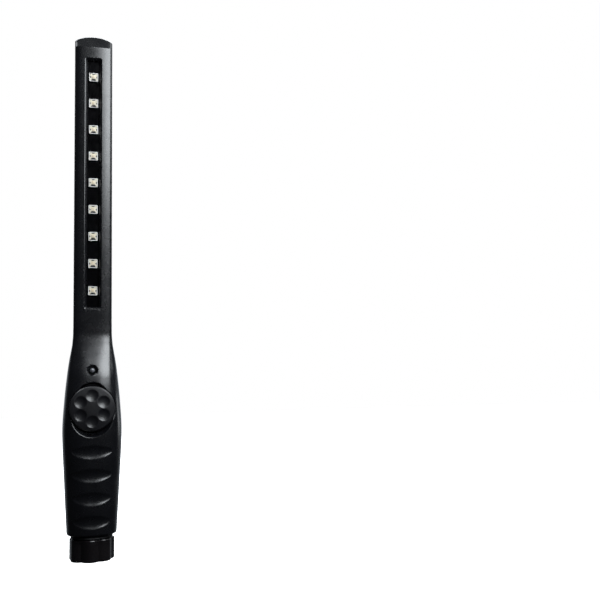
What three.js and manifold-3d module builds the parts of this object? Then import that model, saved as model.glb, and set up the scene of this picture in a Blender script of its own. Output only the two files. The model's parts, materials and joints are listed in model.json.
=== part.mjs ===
// Handheld LED light wand with a battery handle.
// Millimetres. +Z runs from the end cap, which the wand stands on, to the tip. The light side faces -Y.
import * as THREE from "three";
import { mergeVertices } from "three/addons/utils/BufferGeometryUtils.js";
import Module from "manifold-3d";

const wasm = await Module();
wasm.setup();

// ---------------------------------------------------------------- driving dimensions

const fitGap = 0.3; // air between pieces that would touch
const length = 378;
const wall = 2.4;
const outside = 30; // a cut starts or ends this far from the axis, well clear of the wand

const cap = { height: 15, crest: 15.75, lobeRadius: 6.7, lobes: 7, firstCrest: -95, floor: 3.2 };
const spigot = { radius: 11.8, bore: 10, top: 28 };
const seat = {
  low: cap.floor + fitGap,
  high: cap.floor + fitGap + 1,
  radius: spigot.bore - 2 * fitGap,
  pinRadius: 1.6,
  pinHeight: 1.5,
};
const thread = { lead: 3, depth: 0.6, width: 1.3, start: 18.5, turns: 2.5 };
const seal = { inner: 12.6, outer: 14.5, low: 15.3, high: 17.3 };
const handle = { low: 17.7, rim: 2, shoulder: 120 };
const collar = { inner: 12.9, outer: 13.9, low: handle.low + fitGap, high: 33 };

const blade = { halfWidth: 13.45, reach: 8.5, start: 158 };
const bladeForm = { low: blade.start + 4, crown: 0.9 };
const tip = { arcRadius: 26.7, bevelLow: 368.6, bevelRun: 4.2, hollowGap: 4.4 };
const lampWindow = { halfWidth: 4.3, low: 176.9, high: 358.8, corner: 0.9, chamfer: 1.5 };
const leds = { count: 9, pitch: 19.73, first: 188.4, side: 6.8, front: -7.4, back: -5.9 };
const board = { halfWidth: 6.3, low: 170, high: 364, front: -5.6, back: -4.4 };
const spreader = { halfWidth: 7, low: 172, high: 362, front: -4.1, back: -2.1 };

const button = { z: 105, radius: 15.6, face: -19.6, back: -15.9, travel: 1, stemRadius: 2.6 };
const dimple = { count: 6, ring: 10.2, radius: 4.1, depth: 0.9 };
const well = { radius: 16, floor: button.back + button.travel + 0.6, under: -12.5, wallRadius: 18 };
const pockets = [
  { radius: 11.6, rise: 6.9, floor: -15 },
  { radius: 14.3, rise: -5.8, floor: -15 },
];
const buttonLeg = { x: 9, width: 1.6, height: 4, hook: 0.9, end: -10.9 };

const indicator = { z: 131.5, ledRadius: 1.7, top: -14.8 };
const indicatorRecess = { radius: 3.4, rimRadius: 4.2, rimDepth: 0.5, floor: -12.6 };
const indicatorSeat = { wall: 1.6, under: -10.6 };
const control = { halfWidth: 9, low: 88, high: 136, front: -8.2, back: -6.6 };
const leadRadius = 0.7;
const chip = { halfWidth: 3, low: 116, high: 122, thick: 1.5 };
const switchBody = { side: 6, front: -12, stemRadius: 1.7, stemFront: -13 };
const scoops = { count: 4, first: 75, pitch: 15.9, halfHeight: 4.3, depth: 1.6, sweep: 75, bend: 0.32 };

const cell = { radius: 5.2, length: 43.6, ring: 6.15, low: 34.2, nubRadius: 1.9, nubHeight: 0.9 };
const carrier = { radius: 11.6, plate: 1.4, low: 32.4, high: 80.8 };
const sleeve = { inner: 12.1, outer: 13.2, low: 33.4, high: 85 };
const contact = { radius: 5, low: 81.1, high: 82.4, studRadius: 1.4, studTop: 86.8 };
const groundStrip = { inner: 14.1, outer: 14.5, halfWidth: 2, low: 33.4, high: 86 };

const screws = [
  { x: -13.2, z: 95 },
  { x: 13.2, z: 95 },
  { x: 0, z: 162 },
  { x: 0, z: 369.4 },
];
const screw = { headRadius: 2.5, headHeight: 1.8, shankRadius: 1.2, tip: -5.6, bossRadius: 3 };
const seatDepth = { side: 7.4, middle: 3.6 }; // how far a head sits below the back's highest line

// ---------------------------------------------------------------- materials

function surface(color, roughness, metalness = 0) {
  return new THREE.MeshStandardMaterial({ color, roughness, metalness });
}

const satinBlack = surface("#17171c", 0.45);
const glossBlack = surface("#16141a", 0.3);
const rubberBlack = surface("#101012", 0.8);
const boardBlack = surface("#0b0d0c", 0.5);
const boardGreen = surface("#1d4a2c", 0.5);
const ledCream = surface("#e9e4cf", 0.35);
const clearGrey = surface("#b9bdc2", 0.15);
const chipBlack = surface("#1c1c1e", 0.55);
const switchGrey = surface("#3b3d40", 0.5);
const aluminium = surface("#b8babd", 0.4, 1);
const steel = surface("#9b9da1", 0.35, 1);
const brass = surface("#b8975a", 0.35, 1);
const cellWrap = surface("#5b6670", 0.4);
const leadRed = surface("#8f1b1b", 0.5);
const leadBlack = surface("#18181a", 0.5);

// ---------------------------------------------------------------- solids

// A manifold-3d solid of a closed three.js geometry.
function solid(geometry) {
  const bare = new THREE.BufferGeometry();
  bare.setAttribute("position", geometry.getAttribute("position"));
  if (geometry.index) bare.setIndex(geometry.index);
  const merged = mergeVertices(bare, 1e-4);
  return new wasm.Manifold(
    new wasm.Mesh({
      numProp: 3,
      vertProperties: new Float32Array(merged.attributes.position.array),
      triVerts: new Uint32Array(merged.index.array),
    }),
  );
}

function geometryOf(shape) {
  const { vertProperties, triVerts } = shape.getMesh();
  const geometry = new THREE.BufferGeometry();
  geometry.setAttribute("position", new THREE.BufferAttribute(vertProperties, 3));
  geometry.setIndex(new THREE.BufferAttribute(triVerts, 1));
  return geometry;
}

const joined = (shapes) => shapes.reduce((all, next) => all.add(next));
const cut = (shape, cutters) => cutters.reduce((left, cutter) => left.subtract(cutter), shape);

function block(x, y, z) {
  const box = new THREE.BoxGeometry(x[1] - x[0], y[1] - y[0], z[1] - z[0]);
  return solid(box.translate((x[0] + x[1]) / 2, (y[0] + y[1]) / 2, (z[0] + z[1]) / 2));
}

// A round bar along Y, from back to front.
function barToFront(radius, x, z, back, front, sides = 32) {
  const bar = new THREE.CylinderGeometry(radius, radius, back - front, sides);
  return solid(bar.translate(x, (back + front) / 2, z));
}

// A [radius, height] profile turned about the Z axis. It starts and ends on the axis, or closes on itself.
function turned(profile, sides) {
  const points = profile.map(([radius, height]) => new THREE.Vector2(radius, height));
  return new THREE.LatheGeometry(points, sides).rotateX(Math.PI / 2);
}

// The same, turned about an axis that points to -Y, through x and z.
function turnedToFront(profile, sides, x, z) {
  return turned(profile, sides).rotateX(Math.PI / 2).translate(x, 0, z);
}

const ringProfile = (inner, outer, low, high) => [
  [inner, low],
  [outer, low],
  [outer, high],
  [inner, high],
  [inner, low],
];

const rodProfile = (radius, low, high) => [
  [0, low],
  [radius, low],
  [radius, high],
  [0, high],
];

// An outline of x and z, extruded along Y from back to front.
function toFront(shape, back, front, curveSegments = 12) {
  const depth = back - front;
  const prism = new THREE.ExtrudeGeometry(shape, { depth, bevelEnabled: false, curveSegments });
  return solid(prism.rotateX(Math.PI / 2).translate(0, back, 0));
}

// ---------------------------------------------------------------- the wand's outer form

const outerSides = 44;
const innerSides = 28;
const sideSpread = 0.7; // below 1, more of a section's points go to its corners

// A smooth curve through [z, value] points that never overshoots them.
function throughPoints(points) {
  const slopes = points.slice(1).map(([z, v], i) => (v - points[i][1]) / (z - points[i][0]));
  const tangents = points.map((_, i) => {
    const before = slopes[i - 1] ?? slopes[i];
    const after = slopes[i] ?? slopes[i - 1];
    return before * after <= 0 ? 0 : (2 * before * after) / (before + after);
  });
  return (z) => {
    const last = points.length - 1;
    if (z <= points[0][0]) return points[0][1];
    if (z >= points[last][0]) return points[last][1];
    const i = points.findIndex((p) => p[0] > z) - 1;
    const step = points[i + 1][0] - points[i][0];
    const t = (z - points[i][0]) / step;
    const [a, b] = [points[i][1], points[i + 1][1]];
    const rise = step * (tangents[i] * t * (1 - t) ** 2 - tangents[i + 1] * t ** 2 * (1 - t));
    return a + (b - a) * t * t * (3 - 2 * t) + rise;
  };
}

const halfWidth = throughPoints([
  [handle.low, 17.2],
  [55, 19.2],
  [89, 20.5],
  [110, 19.5],
  [131, 17.35],
  [145, 14.95],
  [blade.start, blade.halfWidth],
]);
const frontReach = throughPoints([
  [handle.low, 16.6],
  [55, 18.2],
  [92, 19.3],
  [111, 19.1],
  [126, 17.2],
  [143, 11.9],
  [blade.start, blade.reach],
]);
const backReach = throughPoints([
  [handle.low, 16.4],
  [55, 17.2],
  [88, 17.4],
  [112, 16.2],
  [134, 12.6],
  [bladeForm.low, blade.reach],
]);
// 0 in the handle, 1 in the blade.
const bladeShare = throughPoints([
  [122, 0],
  [bladeForm.low, 1],
]);
const frontSquareness = throughPoints([
  [55, 2.5],
  [88, 3.2],
  [118, 3.2],
  [135, 3.4],
  [bladeForm.low, 7.6],
]);

// One section of the form, as a ring of points. Its sides are superellipses, rounder in the handle than
// in the blade, and the blade's face is crowned.
function sectionRing(z, inset, sides) {
  const share = bladeShare(z);
  const half = halfWidth(z) - inset;
  const squareness = { front: frontSquareness(z), back: 2.4 + 0.8 * share };
  const crown = bladeForm.crown * share;
  return Array.from({ length: sides }, (_, k) => {
    const angle = (2 * Math.PI * k) / sides;
    const atFront = Math.sin(angle) < 0;
    const reach = (atFront ? frontReach(z) : backReach(z)) - inset;
    const n = atFront ? squareness.front : squareness.back;
    const spread = (v) => Math.sign(v) * Math.abs(v) ** sideSpread;
    const [u, v] = [spread(Math.cos(angle)), spread(Math.sin(angle))];
    const scale = (Math.abs(u) ** n + Math.abs(v) ** n) ** (-1 / n);
    const [across, out] = [u * scale, v * scale];
    const drop = atFront ? crown * across ** 2 * Math.abs(out) : 0;
    return new THREE.Vector3(half * across, reach * out + drop, z);
  });
}

// A closed body through rings of equal length, from the lowest to the highest.
function loft(rings) {
  const sides = rings[0].length;
  const centre = (ring) => ring.reduce((sum, p) => sum.add(p), new THREE.Vector3()).divideScalar(sides);
  const points = [...rings.flat(), centre(rings[0]), centre(rings.at(-1))];
  const [bottom, top] = [points.length - 2, points.length - 1];
  const faces = [];
  for (let k = 0; k < sides; k++) {
    const next = (k + 1) % sides;
    for (let row = 0; row < rings.length - 1; row++) {
      const [low, high] = [row * sides, (row + 1) * sides];
      faces.push(low + k, low + next, high + next, low + k, high + next, high + k);
    }
    const last = (rings.length - 1) * sides;
    faces.push(bottom, next, k, top, last + k, last + next);
  }
  const geometry = new THREE.BufferGeometry().setFromPoints(points);
  return solid(geometry.setIndex(faces));
}

const count = (n) => Array.from({ length: n }, (_, i) => i);
const steps = (low, high, n) => count(n + 1).map((i) => low + ((high - low) * i) / n);
const span = (a, b) => [Math.min(a, b), Math.max(a, b)];

// Outside form: the handle's lower rim is rounded, the blade is straight.
function outerForm() {
  const { low, rim, shoulder } = handle;
  const ring = (z, inset = 0) => sectionRing(z, inset, outerSides);
  const rimRings = [0, 25, 50, 75].map((degrees) => {
    const a = THREE.MathUtils.degToRad(degrees);
    return ring(low + rim * (1 - Math.cos(a)), rim * (1 - Math.sin(a)));
  });
  const grip = steps(low + rim, shoulder, 12).map((z) => ring(z));
  const neck = steps(shoulder, bladeForm.low, 11).slice(1).map((z) => ring(z));
  return loft([...rimRings, ...grip, ...neck, ring(length + 1)]);
}

function innerForm() {
  const { low, shoulder } = handle;
  const ring = (z) => sectionRing(z, wall, innerSides);
  const grip = steps(low - 1, shoulder, 7).map(ring);
  const neck = steps(shoulder, bladeForm.low, 7).slice(1).map(ring);
  return loft([...grip, ...neck, ring(length - tip.hollowGap)]);
}

// The tip is an arc seen from the front, with a bevel behind the end of the light side.
function tipOutline() {
  const side = 24;
  const centre = length - tip.arcRadius;
  const spread = Math.asin(side / tip.arcRadius);
  const shape = new THREE.Shape();
  shape.moveTo(-side, 0);
  shape.lineTo(side, 0);
  shape.absarc(0, centre, tip.arcRadius, Math.PI / 2 - spread, Math.PI / 2 + spread, false);
  return toFront(shape, outside, -outside, 20);
}

function tipBevel() {
  const rise = length - tip.bevelLow;
  const slope = Math.atan2(tip.bevelRun, rise);
  const wedge = new THREE.BoxGeometry(2 * outside, outside, 2 * outside).translate(0, -outside / 2, 0);
  return solid(wedge.rotateX(-slope).translate(0, -blade.reach, tip.bevelLow));
}

// ---------------------------------------------------------------- shells

function roundedWindow(grow) {
  const { halfWidth: half, low, high, corner } = lampWindow;
  const [x, bottom, top, r] = [half + grow, low - grow, high + grow, corner + grow];
  const shape = new THREE.Shape();
  shape.absarc(x - r, bottom + r, r, -Math.PI / 2, 0, false);
  shape.absarc(x - r, top - r, r, 0, Math.PI / 2, false);
  shape.absarc(-x + r, top - r, r, Math.PI / 2, Math.PI, false);
  shape.absarc(-x + r, bottom + r, r, Math.PI, 1.5 * Math.PI, false);
  return shape;
}

// A closed body that grows from the outline low, at y back, to the outline high, at y front.
function flared(low, high, back, front) {
  const ring = (shape, y) => shape.getPoints(5).map((p) => new THREE.Vector3(p.x, y, p.y));
  return loft([ring(low, back), ring(high, front)]);
}

function windowCut() {
  const { chamfer } = lampWindow;
  const face = -blade.reach;
  const opening = toFront(roundedWindow(0), board.back, -outside, 5);
  const mouth = flared(roundedWindow(0), roundedWindow(2 * chamfer), face + chamfer, face - chamfer);
  return opening.add(mouth);
}

// A finger scoop is the print of a round bar that is bent a little round the grip.
function scoopCut(z) {
  const { halfHeight, depth, sweep, bend } = scoops;
  const bar = (halfHeight ** 2 + depth ** 2) / (2 * depth);
  const centre = sweep - frontReach(z) + depth - bar;
  const along = (a) => new THREE.Vector3(sweep * Math.sin(a), centre - sweep * Math.cos(a), z);
  const path = new THREE.CatmullRomCurve3(steps(-bend, bend, 12).map(along));
  const round = new THREE.Shape().absarc(0, 0, bar, 0, 2 * Math.PI, false);
  return solid(new THREE.ExtrudeGeometry(round, { steps: 14, extrudePath: path, curveSegments: 30 }));
}

// The button's well, two wider pockets behind the disc's edge, and holes for the stem and the legs.
function buttonWellCuts() {
  const inside = control.front;
  const legSlot = (side) => {
    const { x, width, height, hook } = buttonLeg;
    const near = side * (x - width / 2 - fitGap);
    const far = side * (x + width / 2 + hook + 2 * fitGap);
    const tall = height / 2 + fitGap;
    return block(span(near, far), [button.back, inside], [button.z - tall, button.z + tall]);
  };
  const pocket = ({ radius, rise, floor }) => barToFront(radius, 0, button.z + rise, floor, -outside, 40);
  return [
    barToFront(well.radius, 0, button.z, well.floor, -outside, 56),
    ...pockets.map(pocket),
    barToFront(button.stemRadius + fitGap, 0, button.z, inside, button.back, 24),
    legSlot(1),
    legSlot(-1),
  ];
}

function indicatorCuts() {
  const { radius, rimRadius, rimDepth, floor } = indicatorRecess;
  const { z, ledRadius } = indicator;
  return [
    barToFront(radius, 0, z, floor, -outside, 28),
    barToFront(rimRadius, 0, z, rimDepth - frontReach(z), -outside, 28),
    barToFront(ledRadius + fitGap, 0, z, control.front, -outside, 20),
  ];
}

function boss({ x, z }, back, front) {
  return barToFront(screw.bossRadius, x, z, back, front, 20);
}

const halfSpace = (y) => block([-outside, outside], y, [-outside, length + outside]);

function frontShell(form, hollow) {
  const skin = form.subtract(hollow);
  const wellCup = barToFront(well.wallRadius, 0, button.z, well.under, -outside, 40).intersect(form);
  const seatRadius = indicatorRecess.rimRadius + indicatorSeat.wall;
  const ledSeat = barToFront(seatRadius, 0, indicator.z, indicatorSeat.under, -outside, 28).intersect(form);
  const bosses = screws.map((s) => boss(s, 0, 1 - frontReach(s.z)).intersect(form));
  const pilotEnd = screw.tip - 2 * fitGap;
  const pilots = screws.map((s) => barToFront(screw.shankRadius + fitGap, s.x, s.z, wall, pilotEnd, 16));
  const scoopCuts = count(scoops.count).map((i) => scoopCut(scoops.first - i * scoops.pitch));
  const whole = joined([skin, wellCup, ledSeat, ...bosses]);
  const opened = cut(whole, [...buttonWellCuts(), ...indicatorCuts(), ...scoopCuts, windowCut()]);
  return cut(opened, pilots).intersect(halfSpace([-outside, -fitGap / 2]));
}

function rearShell(form, hollow) {
  const skin = form.subtract(hollow);
  const bosses = screws.map((s) => boss(s, outside, 0).intersect(form));
  const holes = screws.flatMap((s) => [
    barToFront(screw.shankRadius + fitGap, s.x, s.z, outside, -wall, 16),
    barToFront(screw.headRadius + fitGap, s.x, s.z, outside, headSeat(s) - fitGap, 24),
  ]);
  return cut(joined([skin, ...bosses]), holes).intersect(halfSpace([fitGap / 2, outside]));
}

const headSeat = ({ x, z }) => backReach(z) - (x === 0 ? seatDepth.middle : seatDepth.side);

// ---------------------------------------------------------------- light strip

function ledPackage(z) {
  const { side, front, back } = leds;
  const half = side / 2;
  const body = block([-half, half], [front, back], [z - half, z + half]);
  const notch = { outer: half - 0.45, inner: half - 1.45, wide: half - 1, narrow: half - 1.9, depth: 0.7 };
  const outline = new THREE.Shape();
  outline.moveTo(-notch.wide, notch.outer);
  outline.lineTo(notch.wide, notch.outer);
  outline.lineTo(notch.narrow, notch.inner);
  outline.lineTo(-notch.narrow, notch.inner);
  const notches = count(4).map((quarter) => {
    const prism = new THREE.ExtrudeGeometry(outline, { depth: notch.depth + 1, bevelEnabled: false });
    prism.rotateZ((quarter * Math.PI) / 2).rotateX(Math.PI / 2);
    return solid(prism.translate(0, front + notch.depth, z));
  });
  return cut(body, notches);
}

// ---------------------------------------------------------------- button, switch and indicator

function powerButton() {
  const { radius, face, back, stemRadius, z } = button;
  const edge = 0.7;
  const profile = [
    [0, -back],
    [radius, -back],
    [radius, -face - edge],
    [radius - edge * 0.3, -face - edge * 0.3],
    [radius - edge, -face],
    [0, -face],
  ];
  const root = back - 0.5;
  const disc = solid(turnedToFront(profile, 56, 0, z));
  const stem = barToFront(stemRadius, 0, z, switchBody.stemFront - fitGap, root, 24);
  const legs = [1, -1].map((side) => {
    const { x, width, height, hook, end } = buttonLeg;
    const [near, far] = [side * (x - width / 2), side * (x + width / 2)];
    const tall = [z - height / 2, z + height / 2];
    const arm = block(span(near, far), [root, end], tall);
    return arm.add(block(span(near, far + side * hook), [end - 1.2, end], tall));
  });
  return cut(joined([disc, stem, ...legs]), dimpleCuts());
}

// Each dimple is the print of a sphere, cut by a cap of that sphere.
function dimpleCuts() {
  const { ring, radius, depth } = dimple;
  const ball = (radius ** 2 + depth ** 2) / (2 * depth);
  const spread = Math.asin((radius * 1.15) / ball);
  const arc = steps(0, spread, 3).map((a) => [ball * Math.sin(a), ball - ball * Math.cos(a)]);
  const profile = [...arc, [0, arc.at(-1)[1]]];
  return count(dimple.count).map((i) => {
    const around = (2 * Math.PI * i) / dimple.count;
    const [x, z] = [ring * Math.sin(around), button.z + ring * Math.cos(around)];
    return solid(turnedToFront(profile, 18, x, z).translate(0, button.face + depth, 0));
  });
}

function switchHousing() {
  const { side, front, stemRadius } = switchBody;
  const half = side / 2;
  const body = block([-half, half], [front, control.front - fitGap], [button.z - half, button.z + half]);
  return body.subtract(barToFront(stemRadius + fitGap, 0, button.z, front + 2.4, front - 1, 20));
}

function switchStem() {
  const { front, stemFront, stemRadius } = switchBody;
  return barToFront(stemRadius, 0, button.z, front + 1.1, stemFront, 20);
}

function indicatorLed() {
  const { ledRadius, top, z } = indicator;
  const shoulder = -top - ledRadius;
  const onDome = (a) => [ledRadius * Math.cos(a), shoulder + ledRadius * Math.sin(a)];
  const dome = steps(0, Math.PI / 2, 5).map(onDome).slice(0, -1);
  const base = -control.front + fitGap;
  return turnedToFront([[0, base], [ledRadius, base], ...dome, [0, -top]], 18, 0, z);
}

// ---------------------------------------------------------------- screws

function housingScrew(place) {
  const { headRadius, headHeight, shankRadius } = screw;
  const seat = headSeat(place);
  const top = seat + headHeight;
  const head = barToFront(headRadius, place.x, place.z, top, seat, 24);
  const shank = barToFront(shankRadius, place.x, place.z, seat + 0.2, screw.tip, 12);
  const slot = (wide, tall) =>
    block([place.x - wide, place.x + wide], [top - 0.9, top + 1], [place.z - tall, place.z + tall]);
  return cut(head.add(shank), [slot(0.35, 1.4), slot(1.4, 0.35)]);
}

// ---------------------------------------------------------------- battery pack

function cellPlace(index) {
  const around = (2 * Math.PI * index) / 3 + Math.PI / 2;
  return [cell.ring * Math.cos(around), cell.ring * Math.sin(around)];
}

function batteryCell(index) {
  const { radius, length: tall, nubRadius, nubHeight, low } = cell;
  const shoulder = 0.5;
  const profile = [
    [0, 0],
    [radius - shoulder, 0],
    [radius, shoulder],
    [radius, tall - shoulder],
    [radius - shoulder, tall],
    [nubRadius, tall],
    [nubRadius, tall + nubHeight],
    [0, tall + nubHeight],
  ];
  const [x, y] = cellPlace(index);
  return turned(profile, 20).translate(x, y, low);
}

// Two end plates on a three-sided spine that follows the cells.
function batteryCarrier() {
  const { radius, plate, low, high } = carrier;
  const spine = solid(turned(rodProfile(cell.ring, low + plate / 2, high - plate / 2), 24));
  const bed = turned(rodProfile(cell.radius + fitGap, low + plate, high - plate), 24);
  const beds = count(3).map((i) => solid(bed.clone().translate(...cellPlace(i), 0)));
  const plates = [
    [low, low + plate],
    [high - plate, high],
  ].map(([a, b]) => solid(turned(rodProfile(radius, a, b), 36)));
  return joined([cut(spine, beds), ...plates]);
}

function batterySleeve() {
  const { inner, outer, low, high } = sleeve;
  const lip = 7;
  const top = 1.4;
  return turned(
    [
      [inner, low],
      [outer, low],
      [outer, high],
      [lip, high],
      [lip, high - top],
      [inner, high - top],
      [inner, low],
    ],
    40,
  );
}

function positiveContact() {
  const { radius, low, high, studRadius, studTop } = contact;
  return turned(
    [
      [0, low],
      [radius, low],
      [radius, high],
      [studRadius, high],
      [studRadius, studTop],
      [0, studTop],
    ],
    24,
  );
}

// ---------------------------------------------------------------- end cap

// The cap's outline is a ring of round lobes that meet in narrow valleys.
function capOutline(shrink) {
  const { crest, lobeRadius, lobes, firstCrest } = cap;
  const ring = crest - lobeRadius;
  const pitch = (2 * Math.PI) / lobes;
  const perLobe = 8;
  const lobeOffsets = steps(-pitch / 2, pitch / 2, perLobe).slice(0, -1);
  const points = count(lobes).flatMap((lobe) => {
    const middle = THREE.MathUtils.degToRad(firstCrest) + pitch * lobe;
    return lobeOffsets.map((off) => {
      const bulge = Math.sqrt(lobeRadius ** 2 - (ring * Math.sin(off)) ** 2);
      const radius = ring * Math.cos(off) + bulge - shrink;
      return new THREE.Vector2(radius * Math.cos(middle + off), radius * Math.sin(middle + off));
    });
  });
  return new THREE.Shape(points);
}

function capBody() {
  const edge = 0.9;
  return new THREE.ExtrudeGeometry(capOutline(edge), {
    depth: cap.height - 2 * edge,
    bevelThickness: edge,
    bevelSize: edge,
    bevelSegments: 2,
    steps: 1,
  }).translate(0, 0, edge);
}

class Helix extends THREE.Curve {
  constructor(radius, lead, turns, low) {
    super();
    Object.assign(this, { radius, lead, turns, low });
  }

  getPoint(t, target = new THREE.Vector3()) {
    const angle = 2 * Math.PI * this.turns * t;
    const height = this.low + this.lead * this.turns * t;
    return target.set(this.radius(t) * Math.cos(angle), this.radius(t) * Math.sin(angle), height);
  }
}

function threadRidge() {
  const { lead, depth, width, start, turns } = thread;
  const bury = 0.8;
  const rows = Math.round(turns * 18);
  const rings = steps(0, 1, rows).map((t) => {
    const angle = 2 * Math.PI * turns * t;
    const middle = start + lead * turns * t;
    const fade = Math.min(1, 8 * t, 8 * (1 - t));
    const crest = spigot.radius + depth * Math.max(fade, 0.05);
    const corner = (radius, rise) =>
      new THREE.Vector3(radius * Math.cos(angle), radius * Math.sin(angle), middle + rise);
    return [
      corner(spigot.radius - bury, -width / 2),
      corner(spigot.radius - bury, width / 2),
      corner(crest, width / 5),
      corner(crest, -width / 5),
    ];
  });
  return loft(rings);
}

function endCap() {
  const body = solid(capBody());
  const neck = solid(turned(ringProfile(spigot.bore, spigot.radius, cap.height - 2, spigot.top), 36));
  const hollow = solid(turned(rodProfile(spigot.bore, cap.floor, cap.height + 1), 36));
  return joined([body.subtract(hollow), neck, threadRidge()]);
}

function springSeat() {
  const { low, high, radius, pinRadius, pinHeight } = seat;
  return turned(
    [
      [0, low],
      [radius, low],
      [radius, high],
      [pinRadius, high],
      [pinRadius, high + pinHeight],
      [0, high + pinHeight],
    ],
    32,
  );
}

// A conical spring, wide on the seat and narrow at the cells.
function contactSpring() {
  const wire = 0.55;
  const low = seat.high + fitGap + wire;
  const turns = 6;
  const lead = (carrier.low - fitGap - wire - low) / turns;
  const coil = new Helix((t) => 8.2 - 3.4 * t, lead, turns, low);
  const round = new THREE.Shape().absarc(0, 0, wire, 0, 2 * Math.PI, false);
  return new THREE.ExtrudeGeometry(round, { steps: turns * 12, extrudePath: coil, curveSegments: 3 });
}

// ---------------------------------------------------------------- leads

function lead(points) {
  const path = new THREE.CatmullRomCurve3(points.map((p) => new THREE.Vector3(...p)));
  const round = new THREE.Shape().absarc(0, 0, leadRadius, 0, 2 * Math.PI, false);
  return new THREE.ExtrudeGeometry(round, { steps: 12, extrudePath: path, curveSegments: 4 });
}

// ---------------------------------------------------------------- assembly

const wand = new THREE.Group();

function add(name, shape, material) {
  const geometry = shape.isBufferGeometry ? shape : geometryOf(shape);
  const mesh = new THREE.Mesh(geometry, material);
  mesh.name = name;
  wand.add(mesh);
}

const form = outerForm().intersect(tipOutline()).subtract(tipBevel());
const hollow = innerForm();

add("front_shell", frontShell(form, hollow), satinBlack);
add("rear_shell", rearShell(form, hollow), satinBlack);

const strip = (piece) =>
  block([-piece.halfWidth, piece.halfWidth], [piece.front, piece.back], [piece.low, piece.high]);
add("led_board", strip(board), boardBlack);
add("heat_spreader", strip(spreader), aluminium);
count(leds.count).forEach((i) => add(`led_${i + 1}`, ledPackage(leds.first + i * leds.pitch), ledCream));

add("control_board", strip(control), boardGreen);
const chipBack = control.front - fitGap;
const chipSpan = [-chip.halfWidth, chip.halfWidth];
add("control_chip", block(chipSpan, [chipBack - chip.thick, chipBack], [chip.low, chip.high]), chipBlack);
add("switch_body", switchHousing(), switchGrey);
add("switch_stem", switchStem(), switchGrey);
add("indicator_led", indicatorLed(), clearGrey);
add("power_button", powerButton(), satinBlack);

screws.forEach((place, i) => add(`housing_screw_${i + 1}`, housingScrew(place), steel));

const ring = ({ inner, outer, low, high }) => turned(ringProfile(inner, outer, low, high), 36);
add("thread_collar", ring(collar), satinBlack);
add("battery_sleeve", batterySleeve(), chipBlack);
add("battery_carrier", batteryCarrier(), chipBlack);
count(3).forEach((i) => add(`cell_${i + 1}`, batteryCell(i), cellWrap));
add("positive_contact", positiveContact(), brass);
const stripAcross = [-groundStrip.halfWidth, groundStrip.halfWidth];
const stripAlong = [groundStrip.low, groundStrip.high];
add("ground_strip", block([groundStrip.inner, groundStrip.outer], stripAcross, stripAlong), brass);

add("seal_ring", ring(seal), rubberBlack);
add("end_cap", endCap(), glossBlack);
add("spring_seat", springSeat(), brass);
add("contact_spring", contactSpring(), steel);

// The wires run beside the middle, from the control board to the light board and from the cells up to it.
const ledLead = (side) => [
  [4.4 * side, -7.4, 136.4],
  [5 * side, -6.6, 142],
  [6 * side, -4, 152],
  [5 * side, -3.4, 162],
  [4.4 * side, -4.4, 169.6],
];
add("led_lead_pos", lead(ledLead(1)), leadRed);
add("led_lead_neg", lead(ledLead(-1)), leadBlack);
const cellLeads = {
  pos: [[0, 0, 87.2], [0, -1.5, 90], [2, -3.6, 94], [4, -5.4, 98]],
  neg: [[13.4, -1, 87], [12, -2.4, 90], [9, -4, 94], [7, -5.4, 98]],
};
add("cell_lead_pos", lead(cellLeads.pos), leadRed);
add("cell_lead_neg", lead(cellLeads.neg), leadBlack);

export default wand;
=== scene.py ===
"""Looks of a handheld LED light wand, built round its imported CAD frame.

The frame is in metres: +Z runs from the end cap to the tip and the light side faces -Y.
Sizes in this script are in millimetres, and places come from the CAD nodes' boxes.
"""

import json
import math

import bmesh
import bpy
import numpy as np
from mathutils import Matrix, Vector


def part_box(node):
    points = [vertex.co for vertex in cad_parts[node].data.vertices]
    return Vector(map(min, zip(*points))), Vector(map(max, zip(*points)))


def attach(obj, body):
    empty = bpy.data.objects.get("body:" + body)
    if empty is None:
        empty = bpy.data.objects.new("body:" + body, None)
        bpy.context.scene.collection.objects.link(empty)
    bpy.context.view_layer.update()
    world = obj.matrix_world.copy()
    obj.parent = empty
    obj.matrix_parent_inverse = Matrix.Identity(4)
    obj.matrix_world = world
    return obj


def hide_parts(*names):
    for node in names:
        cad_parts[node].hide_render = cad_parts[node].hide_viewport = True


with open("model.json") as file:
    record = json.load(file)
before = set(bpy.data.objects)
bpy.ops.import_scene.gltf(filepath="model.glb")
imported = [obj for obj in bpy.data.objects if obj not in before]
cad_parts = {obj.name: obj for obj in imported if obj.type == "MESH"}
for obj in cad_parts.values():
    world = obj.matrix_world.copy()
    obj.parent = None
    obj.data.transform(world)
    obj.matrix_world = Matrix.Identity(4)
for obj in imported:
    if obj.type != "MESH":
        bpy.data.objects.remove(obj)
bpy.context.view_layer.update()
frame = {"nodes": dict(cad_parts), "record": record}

MM = 0.001
SKIN = 0.03  # the fine pieces stay this far inside the faceted CAD skin
GAP = 0.3  # air between pieces that would touch
LED_INSET = 0.22  # the bright frames are a little smaller than the CAD's LED blocks
WALL = 2.4  # thickness of the shells
FAR = 30.0  # well clear of the wand
SHARP_ANGLE = 32  # edges sharper than this stay crisp, in degrees


def mm_box(node):
    low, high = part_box(node)
    return np.array(low) / MM, np.array(high) / MM


# ------------------------------------------------------------------ meshes


def mesh_object(name, points, faces):
    """An object from points in millimetres."""
    mesh = bpy.data.meshes.new(name)
    mesh.from_pydata((np.asarray(points, float).reshape(-1, 3) * MM).tolist(), [], faces)
    work = bmesh.new()
    work.from_mesh(mesh)
    bmesh.ops.remove_doubles(work, verts=work.verts, dist=1e-7)
    bmesh.ops.recalc_face_normals(work, faces=work.faces)
    work.to_mesh(mesh)
    work.free()
    piece = bpy.data.objects.new(name, mesh)
    bpy.context.scene.collection.objects.link(piece)
    return piece


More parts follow.
